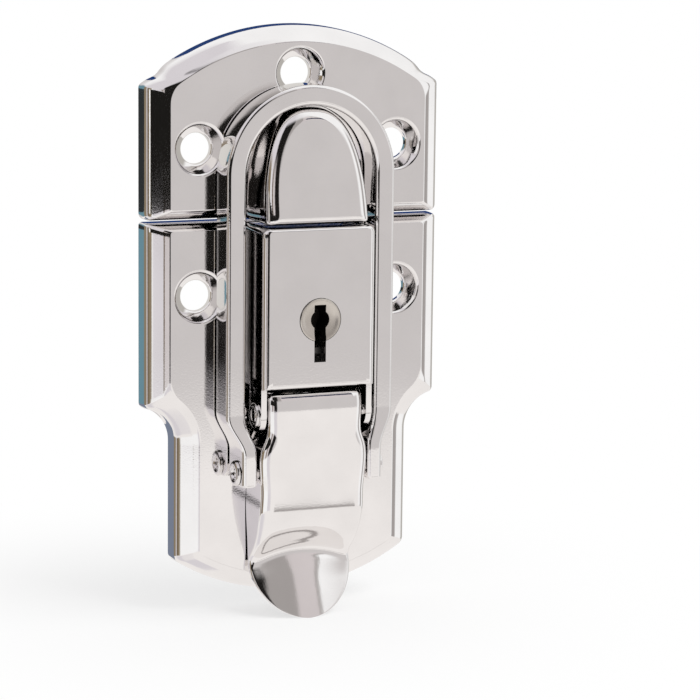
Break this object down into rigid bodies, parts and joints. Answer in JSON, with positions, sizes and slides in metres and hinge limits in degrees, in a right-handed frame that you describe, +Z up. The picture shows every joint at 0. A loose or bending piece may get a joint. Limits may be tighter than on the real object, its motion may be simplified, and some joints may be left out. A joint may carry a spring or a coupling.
{
  "type": "draw latch",
  "caption": "Plated steel draw latch with a thumb lever, a draw loop that hooks over a keeper plate's boss, dimpled screw holes and a key lock.",
  "frame": {"origin": "on the back plane of the plates, at the lowest point of the base plate, in the middle of its width", "axes": "+Z up along the latch from the lever to the keeper, +X to the right seen from the front, +Y into the case that it is screwed to"},
  "size_m": [0.0528, 0.0162, 0.0998],
  "materials": {
    "plated_steel": "bright plated pressed sheet",
    "pin_steel": "plated, turned heads",
    "drum_metal": "plated brass, slightly dull",
    "inner_steel": "zinc coated stamping"
  },
  "bodies": {
    "plates": {"keeper_plate": "plated_steel", "base_plate": "plated_steel", "lock_case": "plated_steel", "ward_bracket": "inner_steel", "detent_spring": "inner_steel", "spring_rivet": "inner_steel", "lever_pin": "pin_steel"},
    "drum": {"key_drum": "drum_metal", "drive_cam": "inner_steel", "drive_pin": "inner_steel"},
    "slide": {"lock_slide": "inner_steel"},
    "lever": {"lever": "plated_steel", "bail_rivet_left": "pin_steel", "bail_rivet_right": "pin_steel"},
    "loop": {"bail": "plated_steel"}
  },
  "joints": [
    {"name": "lever_pivot", "type": "hinge", "parent": "plates", "child": "lever", "pos_m": [0, -0.012, 0.0327], "axis": [-1, 0, 0], "range_deg": [0, 110]},
    {"name": "bail_pivot", "type": "hinge", "parent": "lever", "child": "loop", "pos_m": [0, -0.0104, 0.0227], "axis": [-1, 0, 0], "range_deg": [-165, 0]},
    {"name": "key_turn", "type": "hinge", "parent": "plates", "child": "drum", "pos_m": [0, -0.013, 0.0489], "axis": [0, 1, 0], "range_deg": [0, 90]},
    {"name": "slide_travel", "type": "slide", "parent": "plates", "child": "slide", "axis": [0, 0, -1], "range_m": [0, 0.00396]}
  ],
  "couplings": [
    {"joint": "bail_pivot", "follows": "lever_pivot", "ratio": -1.5},
    {"joint": "key_turn", "follows": "slide_travel", "rad_per_m": 396.6}
  ]
}
